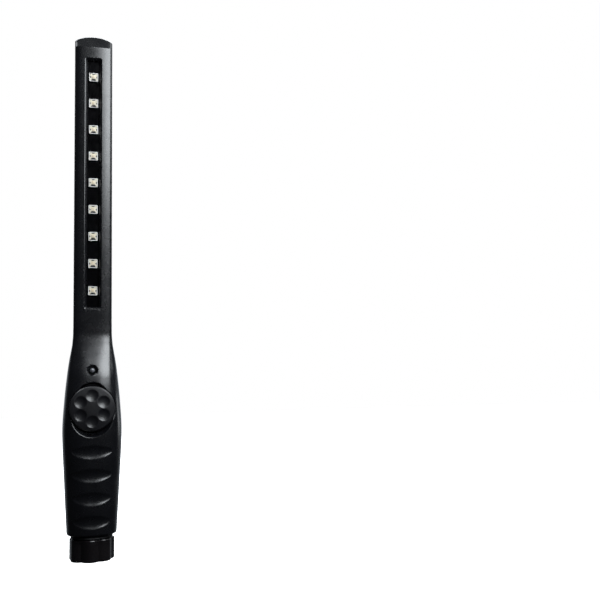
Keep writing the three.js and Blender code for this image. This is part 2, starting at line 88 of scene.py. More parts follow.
def tube_faces(rows, sides, first=0):
    """Quads between rings of points that close on themselves."""
    faces = []
    for row in range(rows - 1):
        low = first + row * sides
        high = low + sides
        for k in range(sides):
            after = (k + 1) % sides
            faces.append((low + k, low + after, high + after, high + k))
    return faces


def loft(name, rings):
    """A closed body through rings of equal length, with a flat face at each end."""
    rings = np.asarray(rings, float)
    rows, sides = rings.shape[:2]
    faces = tube_faces(rows, sides)
    faces.append(tuple(range(sides)))
    faces.append(tuple(range((rows - 1) * sides, rows * sides)))
    return mesh_object(name, rings, faces)


def turned(name, profile, sides=96):
    """A [radius, z] profile that closes on itself, turned about the Z axis."""
    profile = np.asarray(profile, float)
    around = np.linspace(0, 2 * np.pi, sides, endpoint=False)
    rings = [
        np.column_stack([r * np.cos(around), r * np.sin(around), np.full(sides, z)]) for r, z in profile
    ]
    return mesh_object(name, np.array(rings + rings[:1]), tube_faces(len(rings) + 1, sides))


def to_front(points, x=0.0, z=0.0):
    """Points made about +Z, laid along -Y and moved to x and z."""
    points = np.asarray(points, float)
    return np.stack([points[..., 0] + x, -points[..., 2], points[..., 1] + z], axis=-1)


def turn_to_front(name, profile, x=0.0, z=0.0, sides=96):
    """The same as turned, about an axis that points to -Y."""
    piece = turned(name, profile, sides)
    for vertex in piece.data.vertices:
        px, py, pz = vertex.co
        vertex.co = (px + x * MM, -pz, py + z * MM)
    return piece


def box(name, low, high, bevel=0.0):
    """A box between two corners, with rounded edges."""
    work = bmesh.new()
    bmesh.ops.create_cube(work, size=1)
    low, high = np.minimum(low, high), np.maximum(low, high)
    for vertex in work.verts:
        vertex.co = Vector(((low + high) / 2 + np.array(vertex.co) * (high - low)) * MM)
    if bevel:
        edges = list(work.edges)
        bmesh.ops.bevel(work, geom=edges, offset=bevel * MM, segments=3, profile=0.5, affect="EDGES")
    mesh = bpy.data.meshes.new(name)
    work.to_mesh(mesh)
    work.free()
    piece = bpy.data.objects.new(name, mesh)
    bpy.context.scene.collection.objects.link(piece)
    return piece


def combine(piece, others, operation):
    """Joins others to the piece or cuts them from it, and removes them."""
    for other in others:
        step = piece.modifiers.new(operation, "BOOLEAN")
        step.solver = "MANIFOLD"
        step.operation = operation
        step.object = other
    graph = bpy.context.evaluated_depsgraph_get()
    mesh = bpy.data.meshes.new_from_object(piece.evaluated_get(graph))
    piece.modifiers.clear()
    piece.data = mesh
    mesh.name = piece.name
    for other in others:
        bpy.data.objects.remove(other)
    return piece


def cut(piece, *others):
    return combine(piece, others, "DIFFERENCE")


def join(piece, *others):
    return combine(piece, others, "UNION")


def finish_piece(piece, material, body, slot, replaces):
    """Smooth shading with crisp edges, and what the piece stands for."""
    for polygon in piece.data.polygons:
        polygon.use_smooth = True
    piece.data.set_sharp_from_angle(angle=math.radians(SHARP_ANGLE))
    even = piece.modifiers.new("even_shading", "WEIGHTED_NORMAL")
    even.keep_sharp = True
    even.weight = 60
    piece.data.materials.clear()
    piece.data.materials.append(material)
    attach(piece, body)
    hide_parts(*replaces)


# ------------------------------------------------------------------ the wand's form

shell_low, shell_high = mm_box("front_shell")
HANDLE_LOW = shell_low[2]
LENGTH = shell_high[2]
GRIP_HIGH = 84  # the scoops end below this
BLADE_FORM = 162  # the blade keeps one section above this
BLADE_REACH = 8.5
BLADE_HALF = 13.45
CROWN = 0.9  # how much the blade's face falls back towards its sides
SPREAD = 0.7  # gathers a section's points at its rounded corners
RIM = 1.5  # radius of the handle's lower rim
TIP_ARC = 26.7  # radius of the tip's curve
TIP_START = 345
TIP_RISE = 33
TIP_ROUND = 0.6
BEVEL_HEIGHT = 9.4
BEVEL_LOW = LENGTH - BEVEL_HEIGHT
BEVEL_SLOPE = 4.2 / BEVEL_HEIGHT
BEVEL_CORNER = 0.12

SCOOP_REACH = (14.4, 14.0, 13.4, 12.8)  # half the length of each scoop
SCOOP_FIRST = 75
SCOOP_PITCH = 15.9
SCOOP_HALF_HEIGHT = 4.6
SCOOP_DEPTH = 1.1
SCOOP_SMILE = 0.003  # how much a scoop's ends rise, per millimetre squared
SCOOP_LIP = 0.3  # rounding of the edge round a scoop


def through_points(*points):
    """A smooth curve through (z, value) points that never overshoots them."""
    at, value = np.array(points, float).T
    slopes = np.diff(value) / np.diff(at)
    before, after = np.r_[slopes[0], slopes], np.r_[slopes, slopes[-1]]
    product = before * after
    total = np.where(product > 0, before + after, 1)
    tangents = np.where(product > 0, 2 * product / total, 0)

    def curve(z):
        z = np.clip(z, at[0], at[-1])
        i = np.clip(np.searchsorted(at, z, side="right") - 1, 0, len(at) - 2)
        step = at[i + 1] - at[i]
        t = (z - at[i]) / step
        rise = step * (tangents[i] * t * (1 - t) ** 2 - tangents[i + 1] * t**2 * (1 - t))
        return value[i] + (value[i + 1] - value[i]) * t * t * (3 - 2 * t) + rise

    return curve


half_width = through_points(
    (HANDLE_LOW, 17.2), (55, 19.15), (89, 20.5), (110, 19.3), (131, 17.2), (139, 16.1),
    (145, 15.0), (151, 14.05), (158, 13.55), (166, BLADE_HALF)
)
front_reach = through_points(
    (HANDLE_LOW, 16.6), (55, 18.2), (92, 19.3), (111, 19.1), (126, 17.2), (143, 11.9),
    (151, 9.75), (158, 8.65), (166, BLADE_REACH)
)
back_reach = through_points(
    (HANDLE_LOW, 16.4), (55, 17.2), (88, 17.4), (112, 16.2), (134, 12.6), (BLADE_FORM, BLADE_REACH)
)
blade_share = through_points((122, 0), (BLADE_FORM, 1))
front_squareness = through_points((55, 2.5), (88, 3.2), (118, 3.2), (135, 3.4), (BLADE_FORM, 7.6))


def back_squareness(z):
    return 2.4 + 0.8 * blade_share(z)


def smooth_max(a, b, radius):
    """The larger of a and b, with the corner between them rounded off."""
    h = np.clip(0.5 + 0.5 * (a - b) / radius, 0, 1)
    return b + (a - b) * h + radius * h * (1 - h)


def scoop_depth(x, z, middle, reach):
    """How far one finger scoop goes into the grip. It is lens-shaped, with pointed ends."""
    across = np.maximum(1 - (x / reach) ** 2, 0.02)
    off = np.abs(z - middle - SCOOP_SMILE * x**2) / (SCOOP_HALF_HEIGHT * across**0.7)
    past_end = 4 * np.maximum(np.abs(x) / reach - 0.9, 0)
    return SCOOP_DEPTH * across**0.6 * (1 - np.minimum(off, 3) ** 2.1) - past_end


def with_features(x, y, z):
    """Y of the front skin, once the finger scoops and the tip's bevel are taken from it."""
    for i, reach in enumerate(SCOOP_REACH):
        middle = SCOOP_FIRST - i * SCOOP_PITCH
        y = y + smooth_max(scoop_depth(x, z, middle, reach), 0 * z, SCOOP_LIP)
    back = smooth_max((z - BEVEL_LOW) * BEVEL_SLOPE, 0 * z, BEVEL_CORNER)
    return np.where(z > BEVEL_LOW - 2, y * (1 - back / BLADE_REACH), y)


def front_skin(x, z):
    """Y of the front skin straight behind a point."""
    half, n = half_width(z) - SKIN, front_squareness(z)
    across = np.clip(np.abs(x) / half, 0, 0.9999)
    out = (1 - across**n) ** (1 / n)
    return -(front_reach(z) - SKIN) * out + CROWN * blade_share(z) * across**2 * out


def back_skin(x, z):
    half, n = half_width(z) - SKIN, back_squareness(z)
    across = np.clip(np.abs(x) / half, 0, 0.9999)
    return (back_reach(z) - SKIN) * (1 - across**n) ** (1 / n)


def section(z, angles, inset):
    """X and y of one section of the form, at angles round it. Its sides are superellipses."""
    front = np.sin(angles) < 0
    reach = np.where(front, front_reach(z), back_reach(z)) - inset
    n = np.where(front, front_squareness(z), back_squareness(z))
    spread = lambda v: np.sign(v) * np.abs(v) ** SPREAD
    u, v = spread(np.cos(angles)), spread(np.sin(angles))
    scale = (np.abs(u) ** n + np.abs(v) ** n) ** (-1 / n)
    across, out = u * scale, v * scale
    crown = np.where(front, CROWN * blade_share(z) * across**2 * np.abs(out), 0)
    return (half_width(z) - inset) * across, reach * out + crown


def tip_height(x):
    return LENGTH - SKIN - TIP_ARC + np.sqrt(TIP_ARC**2 - x**2)


def half_form(name, side, columns):
    """The front (side -1) or rear (side 1) half of the form as a solid, with rounded outer edges.

    Its rows are level up to TIP_START. Above it they rise by a share of the way to the tip's curve."""
    seam = 0.005
    fillet = 0.35
    arcs = np.linspace(np.pi / 2, 0, 5)

    def row(z, inset=0.0, share=None, drop=0.0):
        reach = front_reach(z) if side < 0 else back_reach(z)
        edge = np.arcsin(((seam + fillet) / reach) ** (1 / SPREAD))
        angles = (np.pi if side < 0 else 0) + np.linspace(edge, np.pi - edge, columns)
        x, y = section(z, angles, inset + SKIN)
        half = np.abs(x[0])
        rise = lambda x: 0 * x + z if share is None else z + share * (tip_height(x) - z) - drop
        level = rise(x)
        if side < 0:
            y = with_features(x, y, level)
        start = np.sign(x[0])
        fx = half - fillet * (1 - np.cos(arcs[:-1]))
        fy = side * (seam + fillet * (1 - np.sin(arcs[:-1])))
        x = np.concatenate([start * fx, x, -start * fx[::-1]])
        y = np.concatenate([fy, y, fy[::-1]])
        level = np.concatenate([np.full(len(fx), level[0]), level, np.full(len(fx), level[-1])])
        chord_x = start * np.linspace(fillet - half, half - fillet, len(x) + 2)[1:-1]
        chord_level = rise(chord_x)
        ring_x = np.concatenate([x, chord_x])
        ring_y = np.concatenate([y, np.full(len(x), side * seam)])
        return np.column_stack([ring_x, ring_y, np.concatenate([level, chord_level])])

    rim = [
        row(HANDLE_LOW + SKIN + RIM * (1 - np.cos(a)), RIM * (1 - np.sin(a)))
        for a in np.linspace(0, np.pi / 2, 9)[:-1]
    ]
    grip = [row(z) for z in np.linspace(HANDLE_LOW + RIM, GRIP_HIGH, 240 if side < 0 else 60)]
    neck = [row(z) for z in np.linspace(GRIP_HIGH, BLADE_FORM, 110)[1:]]
    blade = [row(z) for z in np.linspace(BLADE_FORM, TIP_START, 40)[1:]]
    tip = [row(TIP_START, 0, share) for share in np.linspace(0, 1 - TIP_ROUND / TIP_RISE, 70)[1:]]
    crest = [
        row(TIP_START, TIP_ROUND * (1 - np.cos(a)), 1, TIP_ROUND * (1 - np.sin(a)))
        for a in np.linspace(0, np.pi / 2, 7)[1:]
    ]
    rings = np.array(rim + grip + neck + blade + tip + crest)
    rows, sides = rings.shape[:2]
    faces = tube_faces(rows, sides)
    for first in (0, (rows - 1) * sides):
        for k in range(sides // 2 - 1):
            back = sides - 1 - k
            faces.append((first + k, first + k + 1, first + back - 1, first + back))
    return mesh_object(name, rings, faces)


def hollow_form(name):
    """The space inside both shells."""
    tip_wall = 4.4
    sides = 96
    angles = np.linspace(0, 2 * np.pi, sides, endpoint=False)
    levels = np.concatenate(
        [np.linspace(HANDLE_LOW - 3, 120, 24), np.linspace(124, BLADE_FORM, 14), [LENGTH - tip_wall]]
    )
    rings = [np.column_stack([*section(z, angles, WALL), np.full(sides, z)]) for z in levels]
    return loft(name, rings)


# ------------------------------------------------------------------ cutters that follow the skin


def circle(x, z, radius, points=128):
    """An outline that grows by an offset."""
    around = np.linspace(0, 2 * np.pi, points, endpoint=False)

    def outline(offset):
        r = radius + offset
        return x + r * np.cos(around), z + r * np.sin(around)

    return outline


def rounded_slot(half, low, high, corner, points=10):
    """A rounded rectangle that grows by an offset."""

    def outline(offset):
        r = corner + 0.3 * offset
        x, top, bottom = half + offset - r, high + offset - r, low - offset + r
        quarter = np.linspace(0, np.pi / 2, points)
        xs, zs = [], []
        for i, (cx, cz) in enumerate([(x, top), (-x, top), (-x, bottom), (x, bottom)]):
            xs.append(cx + r * np.cos(quarter + i * np.pi / 2))
            zs.append(cz + r * np.sin(quarter + i * np.pi / 2))
        return np.concatenate(xs), np.concatenate(zs)

    return outline


def carve(name, outline, levels, skin=front_skin):
    """A cutter whose rings follow an outline. Each level is an offset and a function of the skin's y."""
    rings = []
    for offset, height in levels:
        x, z = outline(offset)
        rings.append(np.column_stack([x, height(skin(x, z)) + 0 * x, z]))
    return loft(name, rings)


def flat(y):
    return lambda skin: y


def below(depth):
    """So far under the front skin."""
    return lambda skin: skin + depth


def lip(radius, offset=0.0, far=-FAR):
    """Levels that round off the edge where a straight wall meets the front skin."""
    turns = np.radians([0, 25, 50, 75])
    rounded = [(offset + radius * (1 - math.cos(a)), below(radius * (1 - math.sin(a)))) for a in turns]
    out = offset + 1.3 * radius
    return [*rounded, (out, below(-0.4 * radius)), (out, flat(far))]


def bar(name, radius, x, z, back, front, sides=48):
    """A round bar along Y."""
    outline = circle(x, z, radius, sides)
    return carve(name, outline, [(0, flat(back)), (0, flat(front))])


# ------------------------------------------------------------------ shells

button_low, button_high = mm_box("power_button")
BUTTON_Z = (button_low[2] + button_high[2]) / 2
BUTTON_RADIUS = (button_high[0] - button_low[0]) / 2
BUTTON_FACE = button_low[1]
BUTTON_THICK = 3.7
STEM_RADIUS = 2.6
WELL_RADIUS = BUTTON_RADIUS + 0.4
WELL_FLOOR = -14.3
POCKET_FLOOR = -15.0
CUP_BACK = -12.5  # the wall behind the well ends here

lamp_low, lamp_high = mm_box("indicator_led")
LAMP_Z = (lamp_low[2] + lamp_high[2]) / 2
LAMP_RADIUS = 1.7
LAMP_RECESS = 3.4
LAMP_FLOOR = -12.6
LAMP_BACK = -10.6  # the wall behind the indicator's recess ends here

board_low, board_high = mm_box("led_board")
WINDOW_HALF = 4.3
WINDOW_LOW = 176.9
WINDOW_HIGH = 358.8
WINDOW_CHAMFER = 1.5

SCREWS = [mm_box(f"housing_screw_{i}") for i in range(1, 5)]
SCREW_HEAD_RADIUS = 2.5
SCREW_HEAD_HEIGHT = 1.8
SCREW_TIP_RADIUS = 0.9
SCREW_HOLE_RADIUS = 1.5
BOSS_RADIUS = 3.0


def screw_place(corners):
    low, high = corners
    return (low[0] + high[0]) / 2, (low[2] + high[2]) / 2


def window_cutter():
    """The narrow window in front of the LED board, with a chamfer all round."""
    edge = 0.18
    chamfer = WINDOW_CHAMFER
    outline = rounded_slot(WINDOW_HALF, WINDOW_LOW, WINDOW_HIGH, 0.5)
    levels = [
        (0, flat(board_high[1])),
        (0, below(chamfer + edge)),
        (edge * 0.4, below(chamfer)),
        (chamfer - edge, below(edge)),
        (chamfer + edge * 0.3, below(edge * 0.25)),
        (chamfer + 2.5 * edge, below(-edge * 0.3)),
        (chamfer + 2.5 * edge, flat(-FAR)),
    ]
    return carve("window", outline, levels)


def pocket_cutter(radius, rise, ramp, end_angle):
    """A pocket above or below the button, whose bed curves up over the ramp to a lip in the skin."""
    edge = 0.65
    outline = circle(0, BUTTON_Z + rise, radius - edge, 144)
    steps = np.linspace(0, math.radians(end_angle), 12)
    levels = []
    for a in steps:
        share = (1 - math.cos(a)) / (1 - math.cos(steps[-1]))
        offset = -ramp * (1 - math.sin(a) / math.sin(steps[-1]))
        levels.append((offset, lambda skin, s=share: POCKET_FLOOR + (skin + edge - POCKET_FLOOR) * s))
    turns = np.radians([75, 60, 45, 30, 15, 5])
    levels += [(edge * (1.2 - math.sin(t)), below(edge * (1 - math.cos(t)) - 0.01)) for t in turns]
    levels += [(edge * 1.5, below(-edge * 0.35)), (edge * 1.5, flat(-FAR))]
    return carve("pocket", outline, levels)


def front_shell():
    """The front half, with the button's well and pockets, the indicator's recess and the window."""
    shell = half_form("front_shell_skin", -1, 170)
    places = [screw_place(corners) for corners in SCREWS]
    hollow = cut(
        hollow_form("hollow"),
        bar("cup", WELL_RADIUS + 2, 0, BUTTON_Z, CUP_BACK, -FAR),
        bar("seat", LAMP_RECESS + WALL, 0, LAMP_Z, LAMP_BACK, -FAR),
        *[bar("boss", BOSS_RADIUS, x, z, 0, -FAR) for x, z in places],
    )
    pilots = [bar("pilot", SCREW_HOLE_RADIUS, x, z, 3, -6.2, 32) for x, z in places]
    well = [(0, flat(WELL_FLOOR)), *lip(0.25)]
    lamp = [(0, flat(LAMP_FLOOR)), (0, below(0.9)), (0.72, below(0.12)), *lip(0.12, 0.74)[1:]]
    return cut(
        shell,
        hollow,
        carve("well", circle(0, BUTTON_Z, WELL_RADIUS, 160), well),
        pocket_cutter(radius=11.6, rise=6.9, ramp=1.2, end_angle=80),
        pocket_cutter(radius=14.3, rise=-5.8, ramp=4.4, end_angle=62),
        carve("lamp", circle(0, LAMP_Z, LAMP_RECESS, 72), lamp),
        bar("lamp_hole", LAMP_RADIUS + GAP, 0, LAMP_Z, -5, -FAR),
        bar("stem_hole", STEM_RADIUS + GAP, 0, BUTTON_Z, -5, -17),
        window_cutter(),
        *pilots,
    )


def rear_shell():
    """The back half, with a well and a hole for each screw."""
    shell = half_form("rear_shell_skin", 1, 130)
    places = [screw_place(corners) for corners in SCREWS]
    hollow = cut(
        hollow_form("hollow"),
        *[bar("boss", BOSS_RADIUS, x, z, FAR, 0) for x, z in places],
    )
    wells = []
    for (x, z), (_, high) in zip(places, SCREWS):
        seat = high[1] - SCREW_HEAD_HEIGHT - GAP
        outline = circle(x, z, SCREW_HEAD_RADIUS + GAP, 48)
        levels = [(0, flat(seat))]
        levels += [(d, lambda skin, h=h: skin - h) for d, h in ((0, 0.25), (0.08, 0.08), (0.3, -0.1))]
        levels.append((0.3, flat(FAR)))
        wells.append(carve("screw_well", outline, levels, back_skin))
        wells.append(bar("screw_hole", SCREW_HOLE_RADIUS, x, z, FAR, -3, 32))
    return cut(shell, hollow, *wells)


# ------------------------------------------------------------------ button

DIMPLES = 6
DIMPLE_RING = 9.7
DIMPLE_RADIUS = 4.3
DIMPLE_DEPTH = 1.05
DIMPLE_LIP = 0.12
BUTTON_CROWN = 1.1  # how much lower the face is at the rim than in the middle
BUTTON_EDGE = 0.7
# The rim's steps out and down, as shares of BUTTON_EDGE.
BUTTON_RIM = ((0.08, 0.03), (0.2, 0.12), (0.8, 0.72), (0.93, 0.88), (1, 1.15))
LEG_INNER, LEG_OUTER, LEG_HALF = 8.2, 9.8, 2


def power_button():
    """A disc with a rounded rim, six round dimples in its face, a stem and two snap legs."""
    edge = BUTTON_EDGE
    sides = 240
    around = np.linspace(0, 2 * np.pi, sides, endpoint=False)
    ball = (DIMPLE_RADIUS**2 + DIMPLE_DEPTH**2) / (2 * DIMPLE_DEPTH)

    def crowned(r):
        return -BUTTON_CROWN * (r / BUTTON_RADIUS) ** 2

    def face(x, z):
        height = crowned(np.hypot(x, z))
        base = crowned(DIMPLE_RING)
        for i in range(DIMPLES):
            angle = 2 * np.pi * i / DIMPLES
            off = np.hypot(x - DIMPLE_RING * math.sin(angle), z - DIMPLE_RING * math.cos(angle))
            bed = base + ball - DIMPLE_DEPTH - np.sqrt(np.clip(ball**2 - off**2, 0, None))
            height = -smooth_max(-height, -np.where(off < ball, bed, 9), DIMPLE_LIP)
        return height

    radius = BUTTON_RADIUS - SKIN
    rings = []
    for r in np.linspace(0.05, radius - edge, 66):
        x, z = r * np.cos(around), r * np.sin(around)
        rings.append(np.column_stack([x, z, -BUTTON_FACE - SKIN + face(x, z)]))
    top = -BUTTON_FACE - SKIN + crowned(radius - edge)
    for share, drop in BUTTON_RIM:
        r = radius - edge * (1 - share)
        x, z = r * np.cos(around), r * np.sin(around)
        rings.append(np.column_stack([x, z, np.full(sides, top - edge * drop)]))
    back = -BUTTON_FACE - BUTTON_THICK
    for r, y in ((radius, back + 0.3), (radius - 0.3, back)):
        rings.append(np.column_stack([r * np.cos(around), r * np.sin(around), np.full(sides, y)]))
    disc = loft("button_disc", to_front(rings, 0, BUTTON_Z))
    root = -back - 0.5
    stem = bar("stem", STEM_RADIUS, 0, BUTTON_Z, button_high[1] - 2.4, root)
    legs = []
    for side in (-1, 1):
        low = (side * LEG_INNER, root, BUTTON_Z - LEG_HALF)
        high = (side * LEG_OUTER, button_high[1], BUTTON_Z + LEG_HALF)
        legs.append(box("leg", low, high, 0.2))
    return join(disc, stem, *legs)


# ------------------------------------------------------------------ camera, light and floor


def camera():
    """A 50 mm lens, level with the grip, with the wand on the left of the picture."""
    data = bpy.data.cameras.new("camera")
    data.lens = 50
    data.sensor_width = 36
    eye = bpy.data.objects.new("camera", data)
    bpy.context.scene.collection.objects.link(eye)
    distance, height = 0.6177, 0.1194
    yaw, pitch, roll = (math.radians(angle) for angle in (14.04, 5.72, -1.18))
    turn = Matrix.Rotation(-yaw, 4, "Z") @ Matrix.Rotation(math.pi / 2 + pitch, 4, "X")
    eye.matrix_world = Matrix.Translation((0, -distance, height)) @ turn @ Matrix.Rotation(roll, 4, "Z")
    bpy.context.scene.camera = eye


# Azimuth and elevation in degrees, distance and size in metres, radiance.
LIGHTS = {
    "key": (33, 36, 0.87, (0.66, 0.58), 9.2),
    "top": (15, 108, 1.1, (1.6, 0.4), 14.0),
    "side": (90, 46, 1.2, (0.5, 1.1), 2.2),
    "low_side": (118, -4, 1.2, (0.4, 0.2), 2.0),
    "rear": (180, 14, 1.5, (0.8, 0.7), 2.0),
}
LIGHT_AIM = 0.19  # metres above the floor
LIGHT_TINT = (0.92, 0.965, 1.0)
BEHIND = {"From Min": 0.6, "From Max": 1.0, "To Min": 0.02, "To Max": 0.6}


def area_light(name, azimuth, elevation, distance, size, radiance):
    """A soft box that faces the wand. Azimuth 0 is the camera's side and 90 is the right."""
    data = bpy.data.lights.new(name, "AREA")
    data.shape = "RECTANGLE"
    data.size, data.size_y = size
    data.energy = radiance * math.pi * size[0] * size[1]
    data.color = LIGHT_TINT
    lamp = bpy.data.objects.new(name, data)
    bpy.context.scene.collection.objects.link(lamp)
    a, e = math.radians(azimuth), math.radians(elevation)
    back = Vector((math.sin(a) * math.cos(e), -math.cos(a) * math.cos(e), math.sin(e)))
    lamp.location = Vector((0, 0, LIGHT_AIM)) + back * distance
    lamp.rotation_mode = "QUATERNION"
    lamp.rotation_quaternion = back.to_track_quat("Z", "Y")


def studio():
    """White behind the wand for the camera. Reflections see a dim room that gets brighter at the back."""
    world = bpy.data.worlds.new("studio")
    world.use_nodes = True
    nodes, links = world.node_tree.nodes, world.node_tree.links
    nodes.clear()
    seen = nodes.new("ShaderNodeBackground")
    seen.inputs["Color"].default_value = (1, 1, 1, 1)
    seen.inputs["Strength"].default_value = 1.0
    direction = nodes.new("ShaderNodeTexCoord").outputs["Generated"]
    split = nodes.new("ShaderNodeSeparateXYZ")
    links.new(direction, split.inputs[0])
    behind = nodes.new("ShaderNodeMapRange")
    for socket, value in BEHIND.items():
        behind.inputs[socket].default_value = value
    links.new(split.outputs["Y"], behind.inputs["Value"])
    dim = nodes.new("ShaderNodeBackground")
    dim.inputs["Color"].default_value = (0.85, 0.92, 1, 1)
    links.new(behind.outputs[0], dim.inputs["Strength"])
    path = nodes.new("ShaderNodeLightPath")
    mix = nodes.new("ShaderNodeMixShader")
    out = nodes.new("ShaderNodeOutputWorld")
    links.new(path.outputs["Is Camera Ray"], mix.inputs[0])
    links.new(dim.outputs[0], mix.inputs[1])
    links.new(seen.outputs[0], mix.inputs[2])
    links.new(mix.outputs[0], out.inputs["Surface"])
    bpy.context.scene.world = world

    for name, settings in LIGHTS.items():
        area_light(name, *settings)
    bpy.context.scene.view_settings.view_transform = "Standard"


def floor():
    """A plain pale sheet just under the wand, which lights nothing."""
    half = 3000.0
    steps = 12
    line = np.linspace(-half, half, steps)
    x, y = np.meshgrid(line, line)
    points = np.column_stack([x.ravel(), y.ravel(), np.full(x.size, -0.05)])
    faces = [
        (j * steps + i, j * steps + i + 1, (j + 1) * steps + i + 1, (j + 1) * steps + i)
        for j in range(steps - 1)
        for i in range(steps - 1)
    ]
    ground = mesh_object("floor", points, faces)
    material = bpy.data.materials.new("floor")
    material.use_nodes = True
    shader = material.node_tree.nodes["Principled BSDF"]
    shader.inputs["Base Color"].default_value = (0.9, 0.9, 0.9, 1)
    shader.inputs["Roughness"].default_value = 1.0
    shader.inputs["Specular IOR Level"].default_value = 0.0
    shader.inputs["Emission Color"].default_value = (1, 1, 1, 1)
    shader.inputs["Emission Strength"].default_value = 0.97
    ground.data.materials.append(material)
    ground.visible_glossy = False
    ground.visible_diffuse = False


# ------------------------------------------------------------------ small parts of the front


def rounded_square(half, corner, points=5):
    """X and z of a square with round corners about the origin."""
    return np.column_stack(rounded_slot(half, -half, half, corner, points)(0))


def extrude(name, outlines, levels, x, z):
    """A body along Y through outlines at the y levels, moved to x and z."""
    rings = [
        np.column_stack([line[:, 0] + x, np.full(len(line), y), line[:, 1] + z])
        for line, y in zip(outlines, levels)
    ]
    return loft(name, rings)


LED_COUNT = 9
NOTCH_DEPTHS = (0.7, 0.7, 0.7, 1.35)  # right, top, left and bottom
NOTCH_MOUTHS = (0.8, 1.2, 0.8, 2.1)
NOTCH_TAPER = 0.55
LED_CORNER = 0.55
LED_WALL = 0.5
LED_FLOOR = 0.75
DOME_HALF = 1.15
DOME_RISE = 0.38
DOME_SHIFT = 0.3  # the dome sits above the middle, clear of the bottom notch


def notched_pad(half, inset):
    """An outline with four arms to the corners and a notch in the middle of each side."""
    points = []
    for side in range(4):
        turn = side * np.pi / 2
        c, s = math.cos(turn), math.sin(turn)
        notch, mouth = half - NOTCH_DEPTHS[side], NOTCH_MOUTHS[side]
        throat = mouth * NOTCH_TAPER
        edge = [(half, -half + inset), (half, -mouth), (notch, -throat)]
        edge += [(px, -pz) for px, pz in reversed(edge)]
        points += [(c * px - s * pz, s * px + c * pz) for px, pz in edge]
    return np.array(points)


def led(number):
    """One square LED: a bright frame round a dark floor, a cream pad with four arms, and a soft dome."""
    low, high = mm_box(f"led_{number}")
    x, z = (low[0] + high[0]) / 2, (low[2] + high[2]) / 2
    half = (high[0] - low[0]) / 2 - LED_INSET
    front, back = low[1] + SKIN, high[1]
    plate = rounded_square(half - 0.1, 0.5)
    base = extrude(f"led_base_{number}", [plate, plate], [back, front + LED_FLOOR], x, z)
    outer, inner = half, half - LED_WALL
    outside = ((outer, back), (outer, front + 0.3), (outer - 0.12, front + 0.15))
    inside = ((inner + 0.12, front + 0.15), (inner, front + 0.3), (inner, back))
    rings = []
    for size, y in outside + inside:
        square = rounded_square(size, LED_CORNER if size > outer - 0.2 else 0.3)
        rings.append(np.column_stack([square[:, 0] + x, np.full(len(square), y), square[:, 1] + z]))
    rim = mesh_object(f"led_frame_{number}", np.array(rings + rings[:1]), tube_faces(7, len(rings[0])))
    arm = half - LED_WALL - 0.12
    outlines = [notched_pad(arm, 0.3), notched_pad(arm, 0.3), notched_pad(arm - 0.08, 0.3)]
    pad = extrude(f"led_pad_{number}", outlines, [back - 0.2, front + 0.45, front + 0.37], x, z)
    steps = np.linspace(0, np.pi / 2, 7)[:-1]
    corner = 0.5
    outlines = [rounded_square(DOME_HALF, corner)]
    outlines += [rounded_square(DOME_HALF * math.cos(a) ** 0.5, corner * math.cos(a)) for a in steps]
    levels = [back - 0.3] + [front + DOME_RISE * (1 - math.sin(a)) for a in steps]
    dome = extrude(f"led_dome_{number}", outlines, levels, x, z + DOME_SHIFT)
    return (base, "led_dark"), (rim, "led_frame"), (pad, "led_package"), (dome, "led_phosphor")


def led_board():
    """The strip that carries the LEDs, with long and cross tracks raised under its mask."""
    low, high = board_low + [SKIN, 0.12, SKIN], board_high - SKIN
    plate = box("led_board_plate", low, high, 0.15)
    top, root = low[1] - 0.07, low[1] + 0.2
    long_half, cross_half, cross_gap = 0.3, 0.25, 1.3
    spans = [(x - long_half, x + long_half, low[2] + 2, high[2] - 2) for x in (-3.9, -2.6, 2.6, 3.9)]
    for i in range(1, LED_COUNT + 1):
        led_low, led_high = mm_box(f"led_{i}")
        for z in (led_low[2] - cross_gap, led_high[2] + cross_gap):
            spans.append((-3.9, 3.9, z - cross_half, z + cross_half))
    tracks = [
        box("track", (left, top, bottom), (right, root, end), 0.03) for left, right, bottom, end in spans
    ]
    return join(plate, *tracks)


def indicator():
    """A small domed LED in its recess."""
    low, high = lamp_low, lamp_high
    top, bottom = -low[1] - SKIN, -high[1]
    radius = LAMP_RADIUS - SKIN
    shoulder = top - 1.0
    profile = [(0.02, bottom), (radius, bottom), (radius, shoulder)]
    turns = np.linspace(0.1, np.pi / 2 - 0.02, 12)
    profile += [(radius * math.cos(a), shoulder + math.sin(a)) for a in turns]
    return turn_to_front("indicator_dome", profile, 0, LAMP_Z, 48)


def screw(number):
    """A pan head with a cross recess, on its shank."""
    low, high = SCREWS[number - 1]
    x, z = screw_place((low, high))
    top, seat, tip = high[1] - SKIN, high[1] - SCREW_HEAD_HEIGHT, low[1]
    shank, pan, round_off = 0.3, 1.3, 0.7
    head = [(0, flat(tip)), (shank, flat(tip + 0.6)), (shank, flat(seat))]
    head += [(pan, flat(seat)), (pan, flat(top - round_off))]
    for a in np.linspace(0.3, 1.5, 6):
        head.append((shank + math.cos(a), flat(top - round_off * (1 - math.sin(a)))))
    body = carve("screw_body", circle(x, z, SCREW_TIP_RADIUS, 48), head)
    cross = []
    for wide, tall in ((1.5, 0.3), (0.3, 1.5)):
        cross.append(box("slot", (x - wide, top - 1.0, z - tall), (x + wide, top + 1, z + tall), 0.08))
    return cut(body, *cross)


# ------------------------------------------------------------------ end cap

